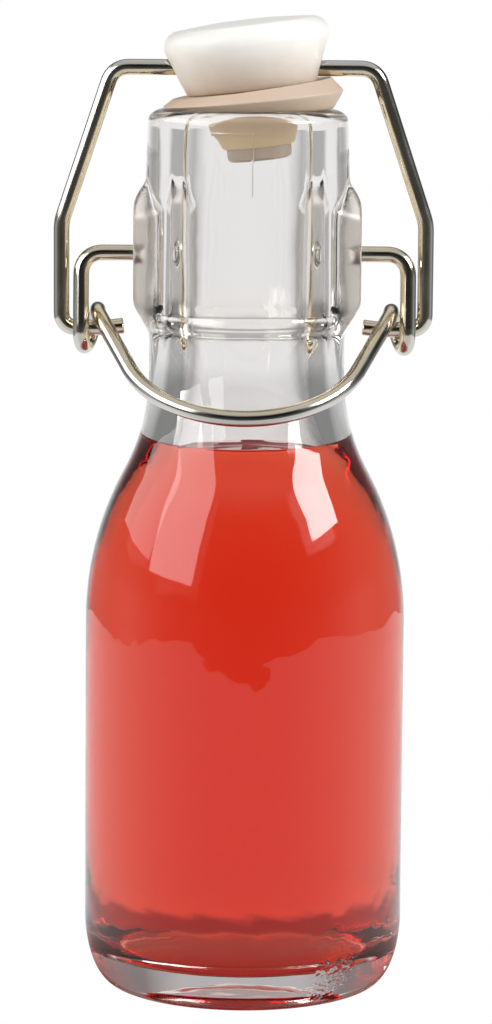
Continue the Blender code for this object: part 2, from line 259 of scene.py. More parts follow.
def wall_wave(angles, z):
    """Unevenness of the blown inside, a tenth of a millimetre: three slow waves that turn as they rise.

    At the heel two quick waves come on top, under a bell curve of the height.
    """
    slow = 0.09 * np.sin(2 * angles + 0.7 + z / 19) + 0.05 * np.sin(3 * angles - z / 11)
    slow = slow + 0.035 * np.sin(5 * angles + z / 7 + 2)
    quick = 0.07 * np.sin(17 * angles + z) + 0.05 * np.sin(31 * angles - 2 * z)
    return slow + np.exp(-(((z - 10.0) / 3.2) ** 2)) * quick


seam_angle, seam_z, level_line_z = -np.pi / 2 + 0.045, 99.2, 103.4


def seam_height(angles, z):
    """Fine raised lines in front of the finish: the mould's upright seam, and a level one near the lip.

    Each is a bell curve across the line. The seam fades out with the square of the height from its middle.
    """
    across = (angles - seam_angle) * finish_r
    upright = np.exp(-((across / 0.07) ** 2)) * np.clip(1.3 - ((z - seam_z) / 5.0) ** 2, 0, 1)
    level = np.exp(-(((z - level_line_z) / 0.1) ** 2)) * ((across > -4.6) & (across < 0.1))
    return 0.08 * upright + 0.09 * level


stipple_angle, stipple_z = -np.pi / 2 + 0.63, 4.2


def stipple_height(angles, z):
    """Patch of small pits and bumps on the heel, left by the mould: two crossed sines under a bell."""
    s = (angles - stipple_angle) * 18.0
    bell = np.exp(-((s / 2.7) ** 4) - ((z - stipple_z - 0.25 * s) / 2.0) ** 4)
    pits = np.sin(5.2 * s + 2.1 * np.sin(2.3 * z)) * np.sin(5.9 * z + 1.7 * np.sin(1.9 * s + 0.5))
    return 0.12 * bell * pits


def column_rate(angle):
    """Columns per radian: more at the lugs' sides, in the dimples, at the seam and on the patch."""
    side = np.abs(np.sin(angle))
    lugs = 60 * ((side > 0.3) & (side < 0.53)) + 95 * (side < 0.13)
    seam = 160 * (np.abs(angle - seam_angle) < 0.016)
    return 24 + lugs + seam + 60 * (np.abs(angle - stipple_angle) < 0.18)


def detail_rate(line):
    """Extra rows per millimetre outside: at the dimples, the lugs' ends, the level line and the patch."""
    r, z = line.T
    dimples = 7.5 * (np.abs(z - pivot_z) < 1.75)
    lug_ends = 3.0 * (np.abs(z - 95.3) < 2.6) + 3.0 * (np.abs(z - 81.9) < 2.2)
    patch = 4.0 * (np.abs(z - stipple_z) < 2.9) * (r > 15.0)
    return dimples + lug_ends + 12.0 * (np.abs(z - level_line_z) < 0.3) + patch


def glass_mesh():
    """Closed skin of the glass: the line from floor to mouth and down to the punt, turned about the axis.

    Outside, the lugs rise from it by a soft maximum of both radii: half of their sum and the root of their
    squared difference plus a small square, less what the root adds far away. The dimples go in, and the
    lines and the patch stand out. The wall's waves fade out towards the axis and the mouth.
    """
    inside = eased(evened(inner_line(), 0.05), 5)
    outside = eased(evened(outer_line(), 0.05), 3)
    line = np.concatenate([inside, outside[1:]])
    top = length_along(inside)[-1]
    rate = bend_rate(line, least=0.5) + (length_along(line) > top) * detail_rate(line)
    rows = rows_along(line, rate, inset=0.15)
    chosen = at_distances(line, rows)
    angles = spread(-np.pi, np.pi, column_rate)[:-1]
    r, z = chosen[:, :1], chosen[:, 1:]
    is_outer = (rows > top)[:, None]
    finish = is_outer & (z > 78) & (z < height - 0.3)
    lug = lug_distance(angles, z)
    fillet, far_away = 0.25, 6.0
    larger = 0.5 * (r + lug + np.hypot(r - lug, fillet) - np.hypot(far_away, fillet) + far_away)
    reach = np.where(finish & (lug > r - 0.6), larger, r)
    reach = reach - np.where(finish, dimple_depth(angles, z) / np.abs(np.cos(angles)).clip(0.5), 0)
    reach = reach + np.where(is_outer, seam_height(angles, z) + stipple_height(angles, z) * (r > 15.0), 0)
    fade = np.clip(r / 12, 0, 1) * np.clip((104 - z) / 6, 0, 1)
    reach = reach + np.where(is_outer, 0.12 * fade, fade) * wall_wave(angles, z)
    grid = round_about(reach, z, angles)[:, ::-1]
    mesh = skin("bottle_glass", grid, [(0, 0, line[0, 1]), (0, 0, line[-1, 1])], sharp=60)
    wet = np.repeat(~is_outer[:, 0] & (z[:, 0] < drink_z + climb), len(angles))
    mark(mesh, "wetted", np.concatenate([wet, [True, False]]))
    rims = 0.3 * np.exp(-(((z - 81.2) / 1.6) ** 4)) + 0.55 * np.exp(-(((z - height) / 1.4) ** 4))
    rims = rims + 0.7 * np.exp(-((z / 0.8) ** 2)) * (r > 12.5)
    raised = np.clip((reach - r - 0.15) / 0.5, 0, 1) * finish
    pressed = np.where(is_outer, np.maximum(raised, rims), 0)
    mark(mesh, "pressed", np.concatenate([pressed[:, ::-1].ravel(), [0, 0]]))
    return mesh


def linear(hex_colour, alpha=1.0):
    """sRGB hex to the linear colour that a shader takes: the standard's straight foot and power curve."""
    code = np.array([int(hex_colour[i : i + 2], 16) for i in (1, 3, 5)]) / 255
    return (*np.where(code <= 0.04045, code / 12.92, ((code + 0.055) / 1.055) ** 2.4), alpha)


def put(tree, kind, inputs=(), stops=(), **settings):
    """Adds a node to a tree: its own settings, and for each input a value or a socket that feeds it.

    A Mix node's two colours are its inputs 6 and 7, and its two numbers 2 and 3. A colour ramp also takes
    its stops, each as where and how bright.
    """
    made = tree.nodes.new(kind)
    for key, value in settings.items():
        setattr(made, key, value)
    for key, value in dict(inputs).items():
        if isinstance(value, bpy.types.NodeSocket):
            tree.links.new(value, made.inputs[key])
        else:
            made.inputs[key].default_value = value
    if stops:
        elements = made.color_ramp.elements
        for _ in stops[2:]:
            elements.new(0.5)
        for element, (where, level) in zip(elements, stops):
            element.position = where
            element.color = (level, level, level, 1.0)
    return made


def blank(name):
    """Empty material and its node tree."""
    material = bpy.data.materials.new(name)
    material.use_nodes = True
    material.node_tree.nodes.clear()
    return material, material.node_tree


# Flint glass, fire-polished: colourless, IOR 1.52. A slow ripple a few millimetres long bends what shows
# through it. What was blown is mirror-smooth, and what was pressed, such as lugs and rims, a little duller.
# Where the drink wets the glass it hardly mirrors, because the two bend light nearly alike.
ripple_length = 4.76
wet_mirror = 0.06
flint_glass, tree = blank("flint_glass")
wetted = put(tree, "ShaderNodeAttribute", attribute_name="wetted")
mirror = put(
    tree,
    "ShaderNodeMapRange",
    {"Value": wetted.outputs["Fac"], "To Min": 1.0, "To Max": wet_mirror},
)
place = put(tree, "ShaderNodeTexCoord").outputs["Object"]
ripple = put(
    tree,
    "ShaderNodeTexNoise",
    {"Vector": place, "Scale": 1 / (ripple_length * mm), "Detail": 1.5, "Roughness": 0.4},
)
uneven = put(
    tree, "ShaderNodeBump", {"Height": ripple.outputs["Fac"], "Strength": 0.12, "Distance": 0.4 * mm}
)
pressed = put(tree, "ShaderNodeAttribute", attribute_name="pressed")
dull = put(tree, "ShaderNodeMapRange", {"Value": pressed.outputs["Fac"], "To Max": 0.3})
cast = put(
    tree,
    "ShaderNodeMix",
    {"Factor": pressed.outputs["Fac"], 6: linear("#fdfcfb"), 7: linear("#fff4ea")},
    data_type="RGBA",
)
shine = put(
    tree,
    "ShaderNodeBsdfPrincipled",
    {
        "Base Color": cast.outputs[2],
        "Roughness": dull.outputs[0],
        "IOR": 1.52,
        "Specular Tint": mirror.outputs[0],
        "Transmission Weight": 1.0,
        "Normal": uneven.outputs["Normal"],
    },
)
put(tree, "ShaderNodeOutputMaterial", {"Surface": shine.outputs["BSDF"]})

piece("bottle_glass", glass_mesh(), flint_glass, "bottle", "glass_bottle")

# ---------------------------------------------------------------------------------------------------------
# Drink. Clear red fruit drink up to the foot of the neck. It wets the glass, so it climbs the wall by over
# half a millimetre, and its skin reaches just into the wall, where it takes the inner surface's place.
# ---------------------------------------------------------------------------------------------------------


def drink_mesh():
    """Closed skin of the drink: up along the wall, over the edge of the meniscus, and in to the middle.

    The surface rises towards the wall as a falling exponential of the distance from it.
    """
    wet = eased(evened(inner_line(offset=0.05), 0.05), 5)
    wet = wet[wet[:, 1] < drink_z + climb]
    edge_r, fall_length = wet[-1, 0], 0.8
    level_r = np.linspace(edge_r, 0, 260)[1:]
    level = np.stack([level_r, drink_z + climb * np.exp((level_r - edge_r) / fall_length)], axis=1)
    line = np.concatenate([wet, level])
    rows = rows_along(line, bend_rate(line, least=0.5), inset=0.15)
    chosen = at_distances(line, rows)
    r, z = chosen[:, :1], chosen[:, 1:]
    angles = np.linspace(-np.pi, np.pi, 161)[:-1]
    on_wall = (rows < length_along(wet)[-1])[:, None]
    reach = r + on_wall * np.clip(r / 12, 0, 1) * wall_wave(angles, z)
    mesh = skin("red_drink", round_about(reach, z, angles), [(0, 0, line[0, 1]), (0, 0, line[-1, 1])])
    mark(mesh, "on_glass", np.concatenate([np.repeat(on_wall.ravel(), len(angles)), [True, False]]))
    return mesh


# Sugared fruit drink: clear, IOR 1.35, red because it soaks up green and blue within a few centimetres. The
# skin on the wall takes its own small share, so that light which runs along inside the wall reddens too.
# Sugar that isn't quite stirred in bends what shows through it, in swirls of a centimetre.
swirl_length = 11.1
fruit_drink, tree = blank("red_fruit_drink")
on_glass = put(tree, "ShaderNodeAttribute", attribute_name="on_glass")
mirror = put(
    tree,
    "ShaderNodeMapRange",
    {"Value": on_glass.outputs["Fac"], "To Min": 1.0, "To Max": wet_mirror},
)
place = put(tree, "ShaderNodeTexCoord").outputs["Object"]
swirl = put(
    tree, "ShaderNodeTexNoise", {"Vector": place, "Scale": 1 / (swirl_length * mm), "Detail": 1.0}
)
film = put(
    tree,
    "ShaderNodeMix",
    {"Factor": on_glass.outputs["Fac"], 6: linear("#ffffff"), 7: linear("#ffe9e7")},
    data_type="RGBA",
)
uneven = put(
    tree, "ShaderNodeBump", {"Height": swirl.outputs["Fac"], "Strength": 0.05, "Distance": 0.3 * mm}
)
shine = put(
    tree,
    "ShaderNodeBsdfPrincipled",
    {
        "Base Color": film.outputs[2],
        "Roughness": 0.0,
        "IOR": 1.35,
        "Specular Tint": mirror.outputs[0],
        "Transmission Weight": 1.0,
        "Normal": uneven.outputs["Normal"],
    },
)
soak = put(tree, "ShaderNodeVolumeAbsorption", {"Color": linear("#f8a77c"), "Density": 160.0})
put(
    tree,
    "ShaderNodeOutputMaterial",
    {"Surface": shine.outputs["BSDF"], "Volume": soak.outputs["Volume"]},
)

piece("drink_body", drink_mesh(), fruit_drink, "bottle", "drink")

# ---------------------------------------------------------------------------------------------------------
# Lever. One length of 1.9 mm spring steel wire, bent cold and plated: a cut end in either dimple, an arm,
# an outer strand down to the eyelet's turn, and the bow that hangs in front as the handle.
# ---------------------------------------------------------------------------------------------------------

wire_r = 0.95
_, eyelet_y, eyelet_z = hinges["bail_swing"]
coil_r = 2.2
lever_x = 19.5
lever_play = -0.3
bow_slope = np.radians(30)
bow_reach, bow_r = 20.9, 14.2


def unit(vector):
    """The vector divided by its own length."""
    return vector / np.linalg.norm(vector)


def rounded(corners, radii):
    """Path through corner points, where each inner corner becomes an arc that touches both its sides.

    The arc's centre lies on the corner's bisector, its radius over the sine of half the angle away.
    """
    path = [corners[:1]]
    for before, corner, after, radius in zip(corners, corners[1:], corners[2:], radii):
        back, ahead = unit(before - corner), unit(after - corner)
        half = np.arccos(np.clip(back @ ahead, -1, 1)) / 2
        centre = corner + unit(back + ahead) * radius / np.sin(half)
        start = unit(corner + back * radius / np.tan(half) - centre)
        turn = np.linspace(0, np.pi - 2 * half, 40)[:, None]
        path.append(centre + radius * (np.cos(turn) * start - np.sin(turn) * back))
    return np.concatenate(path + [corners[-1:]])


def mirrored(half, shift):
    """Whole wire from the half that ends on the middle plane, moved sideways by its play."""
    other = half[-2::-1] * np.array([-1.0, 1.0, 1.0])
    return np.concatenate([half, other]) + np.array([shift, 0.0, 0.0])


def wire_grid(path, radius, sides=26, gap=0.28, chamfer=0.16):
    """Circle carried along a path without twist, whose ends shrink by a quarter circle to a filed edge.

    Each row's side is the last row's side, less its share along the path, made one unit long.
    """
    path = eased(evened(path, 0.05), 6)
    total = length_along(path)[-1]
    near = np.array([0.0, 0.02, 0.05, 0.1, chamfer])
    where = np.concatenate([near, np.arange(2 * gap, total - 2 * gap, gap), total - near[::-1]])
    line = at_distances(path, where)
    ahead = np.gradient(line, axis=0)
    ahead /= np.linalg.norm(ahead, axis=1, keepdims=True)
    side = np.zeros_like(ahead)
    side[0] = unit(np.cross(ahead[0], (0.0, 1.0, 0.02)))
    for i in range(1, len(side)):
        side[i] = unit(side[i - 1] - ahead[i] * (side[i - 1] @ ahead[i]))
    up = np.cross(ahead, side)
    inwards = np.clip(1 - np.minimum(where, total - where) / chamfer, 0, 1)
    shrink = 1 - 0.16 * (1 - np.sqrt(1 - inwards**2))
    angles = np.linspace(0, 2 * np.pi, sides + 1)[:-1]
    ring = np.cos(angles)[None, :, None] * side[:, None] + np.sin(angles)[None, :, None] * up[:, None]
    return line[:, None] + radius * shrink[:, None, None] * ring, line


def lever_half():
    """From the dimple along the arm, down the strand, 300 degrees round the eyelet, and along half the bow.

    The eyelet's turn is a circle about the bail's wire that moves inwards as a cosine, by one wire's width.
    The bow is a straight leg that touches an arc round the bottle, both in one sloping plane.
    """
    corners = np.array([
        (lug_x - 1.3, 0, pivot_z),
        (lever_x, 0, pivot_z),
        (lever_x, eyelet_y - coil_r, eyelet_z),
    ])
    arm = rounded(corners, [2.4])[:-1]
    sweep = np.radians(270) + bow_slope
    turn = np.linspace(0, sweep, 120)
    inward = 1 - np.cos(np.pi * turn / sweep)
    coil = np.stack([
        lever_x - inward,
        eyelet_y - coil_r * np.cos(turn),
        eyelet_z - coil_r * np.sin(turn),
    ], axis=1)
    start = coil[-1]
    centre = bow_reach - bow_r
    far = np.hypot(start[0], centre)
    leg = np.sqrt(far**2 - bow_r**2)
    heading = np.arctan2(centre, -start[0]) - np.arcsin(bow_r / far)
    touch_x, touch_s = start[0] + leg * np.cos(heading), leg * np.sin(heading)
    turn = np.linspace(np.arctan2(touch_s - centre, touch_x), np.pi / 2, 90)
    x = bow_r * np.cos(turn)
    s = centre + bow_r * np.sin(turn)
    bow = np.stack([x, start[1] - s * np.cos(bow_slope), start[2] - s * np.sin(bow_slope)], axis=1)
    return np.concatenate([arm, coil, bow])


def wire_mesh(name, path):
    """Skin of the wire, with how far each point faces away from the closure's middle as an attribute."""
    grid, line = wire_grid(path, wire_r)
    mesh = skin(name, grid, [line[0], line[-1]])
    middle = np.array([0.0, 0.0, 92.0])
    outward = line - middle
    outward /= np.linalg.norm(outward, axis=1, keepdims=True)
    facing = np.sum((grid - line[:, None]) / wire_r * outward[:, None], axis=2)
    mark(mesh, "outer_side", np.concatenate([facing.reshape(-1), [0.0, 0.0]]))
    return mesh


# Spring steel wire, bright zinc plated and passivated: a mirror with a yellow film, grey like bare plating
# in patches of a few millimetres. It is also greyer on the outer side and yellower on the inner side, which
# is
# painted reflection: the cool grey stands in for the dark bands that the wire mirrors on its outer side.
# Drawing lines a tenth of a millimetre wide run along it, each for a small share of the wire's length.
line_width, line_share, patch_size = 0.115, 1 / 28, 3.85
plated_wire, tree = blank("plated_steel_wire")
place = put(tree, "ShaderNodeTexCoord")
along = put(
    tree,
    "ShaderNodeMapping",
    {"Vector": place.outputs["UV"], "Scale": (2 * np.pi * wire_r / line_width, 1 / line_share, 1.0)},
)
lines = put(tree, "ShaderNodeTexNoise", {"Vector": along.outputs["Vector"], "Scale": 1.0, "Detail": 4.0})
cloud = put(
    tree,
    "ShaderNodeTexNoise",
    {"Vector": place.outputs["Object"], "Scale": 1 / (patch_size * mm), "Detail": 3.0},
)
# Painted reflection: the outer side is tinted grey and the inner side yellow, on top of the film's patches.
side_for_painted_reflection = put(tree, "ShaderNodeAttribute", attribute_name="outer_side")
patches_and_painted_reflection = put(
    tree,
    "ShaderNodeMath",
    {0: cloud.outputs["Fac"], 1: 0.9, 2: side_for_painted_reflection.outputs["Fac"]},
    operation="MULTIPLY_ADD",
)
film = put(tree, "ShaderNodeMapRange", {"Value": patches_and_painted_reflection.outputs[0], "From Min": -0.1, "From Max": 1.0})
tint = put(
    tree,
    "ShaderNodeMix",
    {"Factor": film.outputs[0], 6: linear("#e8dabb"), 7: linear("#d2cfca")},
    data_type="RGBA",
)
gloss = put(
    tree,
    "ShaderNodeMapRange",
    {"Value": cloud.outputs["Fac"], "From Min": 0.3, "From Max": 0.75, "To Min": 0.1, "To Max": 0.22},
)
drawn = put(
    tree, "ShaderNodeBump", {"Height": lines.outputs["Fac"], "Strength": 0.1, "Distance": 0.04 * mm}
)
shine = put(
    tree,
    "ShaderNodeBsdfPrincipled",
    {
        "Base Color": tint.outputs[2],
        "Metallic": 1.0,
        "Roughness": gloss.outputs[0],
        "Normal": drawn.outputs["Normal"],
    },
)
put(tree, "ShaderNodeOutputMaterial", {"Surface": shine.outputs["BSDF"]})

lever_mesh = wire_mesh("lever", mirrored(lever_half(), lever_play))
piece("lever", lever_mesh, plated_wire, "lever", "lever_wire")

# ---------------------------------------------------------------------------------------------------------
# Bail. The same wire: a crossbar through the stopper, two splayed legs, and a hook through each eyelet with
# a short cut end inside.
# ---------------------------------------------------------------------------------------------------------

crossbar_z = hinges["stopper_swing"][2]
bail_x = 21.75
bail_play = -0.45


def bail_half():
    """From the cut end inside the eyelet, out and up the leg, over the kink, to the crossbar's middle."""

    def on_plane(x, z):
        """Point of the plane through the eyelets and the crossbar, by straight interpolation in height."""
        share = (z - eyelet_z) / (crossbar_z - eyelet_z)
        return (x, eyelet_y * (1 - share), z)

    corners = np.array([
        on_plane(14.3, eyelet_z + 0.25),
        on_plane(16.3, eyelet_z),
        on_plane(bail_x, eyelet_z),
        on_plane(bail_x, 92.2),
        on_plane(15.6, crossbar_z),
        on_plane(0.0, crossbar_z),
    ])
    return rounded(corners, [2.4, 1.6, 4.8, 2.4])


bail_mesh = wire_mesh("bail", mirrored(bail_half(), bail_play))
piece("bail", bail_mesh, plated_wire, "bail", "bail_wire")

# ---------------------------------------------------------------------------------------------------------
# Stopper head. Injection-moulded white polypropylene: a blunt cone that widens upwards to a low crown, with
# a stem below for the washer and a cross hole for the wire. It hangs askew, its low side at -X.
# ---------------------------------------------------------------------------------------------------------

lean = np.radians(7.2)
stopper_x = 0.1
head_r, head_top = 9.8, 5.7
stem_r, stem_end = 3.9, -10.9


def leaned(points):
    """Points given about the stopper's own axis, turned by its lean towards -X and set on the crossbar."""
    x, y, z = points[..., 0], points[..., 1], points[..., 2]
    tipped = np.stack([
        x * np.cos(lean) - z * np.sin(lean),
        y,
        x * np.sin(lean) + z * np.cos(lean),
    ], axis=-1)
    return tipped + np.array([stopper_x, 0.0, crossbar_z])


def head_line():
    """Half outline of the head and its stem, from the crown's middle down to the stem's end."""
    crown = np.array([(0.0, head_top), (3.9, 5.6)])
    brim = bend((head_r - 2.0, 3.3), (2.0, 2.0), 1.35, -0.25, 30)
    foot = np.array([(7.8, -2.3), (7.6, -2.5), (stem_r, -2.5)])
    stem = np.array([(stem_r, stem_end + 0.3), (stem_r - 0.3, stem_end), (0.0, stem_end)])
    return np.concatenate([crown, brim, foot, stem])


def head_mesh():
    """The outline turned about the stopper's axis, with the slight sink and swell of a thick moulding.

    The swell is a sum of two sines of the angle, above the foot and away from the axis.
    """
    line = eased(evened(head_line(), 0.05), 4)
    chosen = at_distances(line, rows_along(line, bend_rate(line, least=1.2), inset=0.1))
    r, z = chosen[:, :1], chosen[:, 1:]
    angles = np.linspace(-np.pi, np.pi, 145)[:-1]
    swell = 0.10 * np.sin(2 * angles + 0.6) + 0.06 * np.sin(3 * angles + z / 2.2)
    reach = r + swell * np.clip(z + 2.0, 0, 1) * np.clip(r / 6, 0, 1)
    ends = [leaned(np.array([0, 0, head_top])), leaned(np.array([0, 0, stem_end]))]
    return skin("stopper_head", leaned(round_about(reach, z, angles)), ends, sharp=50)


def hole_mesh():
    """Skin of the cross hole: a circle along X that flares near its mouths as the square of the distance.

    The wire runs level through the leaning head, so the hole also grows taller outwards, by a step of tanh.
    """
    mouth_x = np.linspace(8, 11.5, 8)
    x = np.concatenate([-mouth_x[::-1], np.linspace(-7, 7, 15), mouth_x])[:, None]
    angles = np.linspace(0, 2 * np.pi, 41)[:-1]
    radius = 1.25 + 0.35 * np.clip((np.abs(x) - 8.3) / 2.2, 0, 1) ** 2
    tall = np.abs(x) * np.tan(lean)
    y = radius * np.cos(angles)
    z = radius * np.sin(angles) + tall * np.tanh(4 * np.sin(angles))
    grid = np.stack([x + 0 * angles, y, z], axis=2)
    ends = [leaned(np.array([-mouth_x[-1], 0, 0])), leaned(np.array([mouth_x[-1], 0, 0]))]
    return skin("wire_hole", leaned(grid), ends)


def bored(mesh, tool):
    """The mesh with the tool's volume cut out of it, as one new mesh."""
    thing = bpy.data.objects.new("blank_head", mesh)
    drill = bpy.data.objects.new("drill", tool)
    for item in (thing, drill):
        bpy.context.scene.collection.objects.link(item)
    cut = thing.modifiers.new("Hole", "BOOLEAN")
    cut.operation = "DIFFERENCE"
    cut.object = drill
    cut.solver = "EXACT"
    graph = bpy.context.evaluated_depsgraph_get()
    done = bpy.data.meshes.new_from_object(thing.evaluated_get(graph), depsgraph=graph)
    for item in (thing, drill):
        bpy.data.objects.remove(item)
    done.shade_smooth()
    done.set_sharp_from_angle(angle=np.radians(38))
    return done


# Polypropylene, injection moulded in a polished mould: off-white, slightly see-through in its skin, with a
# soft gloss. Towards its foot it is painted darker and tan, unevenly: painted shade, where the light from
# above falls off down its side. The fine grain that breaks the gloss is drawn coarser than it is, so that
# it shows.
cloud_size, grain_size = 5.26, 0.385
white_plastic, tree = blank("white_polypropylene")
place = put(tree, "ShaderNodeTexCoord").outputs["Object"]
level = put(tree, "ShaderNodeSeparateXYZ", {"Vector": place})
cloud = put(
    tree, "ShaderNodeTexNoise", {"Vector": place, "Scale": 1 / (cloud_size * mm), "Detail": 3.0}
)
grain = put(
    tree, "ShaderNodeTexNoise", {"Vector": place, "Scale": 1 / (grain_size * mm), "Detail": 2.0}
)
drift = put(
    tree,
    "ShaderNodeMath",
    {0: cloud.outputs["Fac"], 1: 4.0 * mm, 2: level.outputs["Z"]},
    operation="MULTIPLY_ADD",
)
# Painted shade: darker and tan towards the foot, by height, made ragged by the cloud.
foot_shade = put(
    tree,
    "ShaderNodeMapRange",
    {"Value": drift.outputs[0], "From Min": 109.5 * mm, "From Max": 116.5 * mm},
)
tint = put(
    tree,
    "ShaderNodeMix",
    {"Factor": foot_shade.outputs[0], 6: linear("#c4b19e"), 7: linear("#f3f1ec")},
    data_type="RGBA",
)
fine = put(
    tree, "ShaderNodeBump", {"Height": grain.outputs["Fac"], "Strength": 0.12, "Distance": 0.04 * mm}
)
slow = put(
    tree,
    "ShaderNodeBump",
    {
        "Height": cloud.outputs["Fac"],
        "Strength": 0.25,
        "Distance": 0.3 * mm,
        "Normal": fine.outputs["Normal"],
    },
)
shine = put(
    tree,
    "ShaderNodeBsdfPrincipled",
    {
        "Base Color": tint.outputs[2],
        "Roughness": 0.34,
        "IOR": 1.49,
        "Subsurface Weight": 0.25,
        "Subsurface Radius": (1.0, 0.85, 0.7),
        "Subsurface Scale": 1.2 * mm,
        "Normal": slow.outputs["Normal"],
    },
)
put(tree, "ShaderNodeOutputMaterial", {"Surface": shine.outputs["BSDF"]})

piece(
    "stopper_head_moulding",
    bored(head_mesh(), hole_mesh()),
    white_plastic,
    "stopper",
    "stopper_head",
)

# ---------------------------------------------------------------------------------------------------------
# Washer. Moulded natural-coloured rubber on the stem: a rim with a blunt edge that is pressed onto the lip,
# and a plug that narrows into the mouth. It is squeezed flatter under the stopper's low side.
# ---------------------------------------------------------------------------------------------------------

washer_bore = 3.85
washer_top = -2.52


def washer_grid():
    """Rings about the stopper's axis, each with its radius, height and lean, joined by rounded corners.

    Between two rings all three run straight, and then the corners are eased. The rim's own lean fades from
    the head's above to level on the lip, where it rests.
    """
    rest_h = height - crossbar_z
    rings = np.array([
        (washer_bore, washer_top, lean),
        (7.9, washer_top, lean),
        (9.5, -2.4, lean * 1.17),
        (10.8, -3.65, lean * 0.8),
        (9.4, rest_h + 0.1, 0.0),
        (8.6, rest_h - 0.01, 0.0),
        (6.9, rest_h - 0.01, 0.0),
        (6.35, rest_h - 0.9, lean * 0.6),
        (5.7, -6.9, lean),
        (4.8, -8.1, lean),
        (4.3, -9.3, lean),
        (washer_bore, -9.4, lean),
        (washer_bore, washer_top, lean),
    ])
    line = eased(evened(rings[:, :2], 0.04), 3)
    along, corners = length_along(line), length_along(rings[:, :2])
    tip = np.interp(along, corners * along[-1] / corners[-1], rings[:, 2])
    rows = rows_along(line, bend_rate(line, least=1.5, cap=4.0), inset=0.0)[:-1]
    r, h, tip = (np.interp(rows, along, values)[:, None] for values in (*line.T, tip))
    angles = np.linspace(-np.pi, np.pi, 129)[:-1]
    centre = leaned(np.stack([0 * h, 0 * h, h], axis=2))
    grid = centre + np.stack([
        r * np.cos(angles) * np.cos(tip),
        r * np.sin(angles) + 0 * tip,
        r * np.cos(angles) * np.sin(tip),
    ], axis=2)
    return grid[:, ::-1]


def ring_skin(name, grid):
    """Mesh over a grid whose rows and columns both close, like a ring."""
    rows, columns = grid.shape[:2]
    row = np.arange(rows)[:, None]
    column = np.arange(columns)[None, :]
    beside, below = (column + 1) % columns, (row + 1) % rows
    quads = np.stack([
        row * columns + column,
        row * columns + beside,
        below * columns + beside,
        below * columns + column,
    ], axis=2)
    mesh = bpy.data.meshes.new(name)
    mesh.from_pydata((grid.reshape(-1, 3) * mm).tolist(), [], quads.reshape(-1, 4).tolist())
    mesh.shade_smooth()
    mesh.set_sharp_from_angle(angle=np.radians(40))
    return mesh


# Natural rubber, moulded: pinkish beige and nearly matt outside, with a cloudy, faintly uneven skin. Low
# down, inside the mouth, it is painted lighter and yellower: painted light for the light that the neck's
# glass keeps off it.
cloud_size = 2.38
natural_rubber, tree = blank("natural_rubber")
place = put(tree, "ShaderNodeTexCoord").outputs["Object"]
level = put(tree, "ShaderNodeSeparateXYZ", {"Vector": place})
cloud = put(
    tree, "ShaderNodeTexNoise", {"Vector": place, "Scale": 1 / (cloud_size * mm), "Detail": 4.0}
)
drift = put(
    tree,
    "ShaderNodeMath",
    {0: cloud.outputs["Fac"], 1: 2.2 * mm, 2: level.outputs["Z"]},
    operation="MULTIPLY_ADD",
)
# Painted light: lighter and yellower low down, inside the mouth, fading out above it.
above_mouth = put(
    tree,
    "ShaderNodeMapRange",
    {"Value": drift.outputs[0], "From Min": 103.5 * mm, "From Max": 108.5 * mm},
)
tint = put(
    tree,
    "ShaderNodeMix",
    {"Factor": above_mouth.outputs[0], 6: linear("#f0d4aa"), 7: linear("#cab5a2")},
    data_type="RGBA",
)
uneven = put(
    tree, "ShaderNodeBump", {"Height": cloud.outputs["Fac"], "Strength": 0.3, "Distance": 0.1 * mm}
)
shine = put(
    tree,
    "ShaderNodeBsdfPrincipled",
    {
        "Base Color": tint.outputs[2],
        "Roughness": 0.48,
        "IOR": 1.52,
        "Subsurface Weight": 0.15,
        "Subsurface Radius": (1.0, 0.7, 0.5),
        "Subsurface Scale": 0.8 * mm,
        "Normal": uneven.outputs["Normal"],
    },
)
put(tree, "ShaderNodeOutputMaterial", {"Surface": shine.outputs["BSDF"]})

piece(
    "rubber_washer",
    ring_skin("rubber_washer", washer_grid()),
    natural_rubber,
    "stopper",
    "stopper_gasket",
)

# ---------------------------------------------------------------------------------------------------------
# Table, light and camera. A white table with an uneven edge, two large soft lights on the left, a smaller
# and brighter one on the right, and a white room behind the bottle.
# ---------------------------------------------------------------------------------------------------------


def table_mesh():
    """Flat sheet: a square with rounded corners whose edge wanders as a sum of sines of the angle."""
    turn = np.linspace(0, 2 * np.pi, 361)[:-1]
    rim = (np.abs(np.cos(turn)) ** 5 + np.abs(np.sin(turn)) ** 5) ** -0.2
    wander = 6.0 * np.sin(9 * turn + 1) + 4.0 * np.sin(23 * turn) + 3.0 * np.sin(41 * turn + 2)
    rim = 250.0 * rim + wander
    across = np.where(np.cos(turn) > 0, 1.2, 1.05)
    verts = np.stack([rim * np.cos(turn) * across, rim * np.sin(turn) + 22.0, 0 * turn], axis=1)
    mesh = bpy.data.meshes.new("table")
    mesh.from_pydata((verts * mm).tolist(), [], [list(range(len(turn)))])
    return mesh


def turned_away(tree, vector):
    """How far a level direction points away from the front: 0 straight to -Y, 1 straight to +Y."""
    flat = put(tree, "ShaderNodeVectorMath", {0: vector, 1: (1.0, 1.0, 0.0)}, operation="MULTIPLY")
    level = put(tree, "ShaderNodeVectorMath", {0: flat.outputs[0]}, operation="NORMALIZE")
    depth = put(tree, "ShaderNodeSeparateXYZ", {"Vector": level.outputs[0]})
    share = put(tree, "ShaderNodeMapRange", {"Value": depth.outputs["Y"], "From Min": -1.0})
    return share.outputs[0]


def plain_mirror(tree, sight):
    """1 for light that was mirrored last, 0 for light that was bent or scattered last."""
    glossy, bent = sight.outputs["Is Glossy Ray"], sight.outputs["Is Transmission Ray"]
    last = put(tree, "ShaderNodeMath", {0: glossy, 1: bent}, operation="SUBTRACT", use_clamp=True)
    return last.outputs[0]
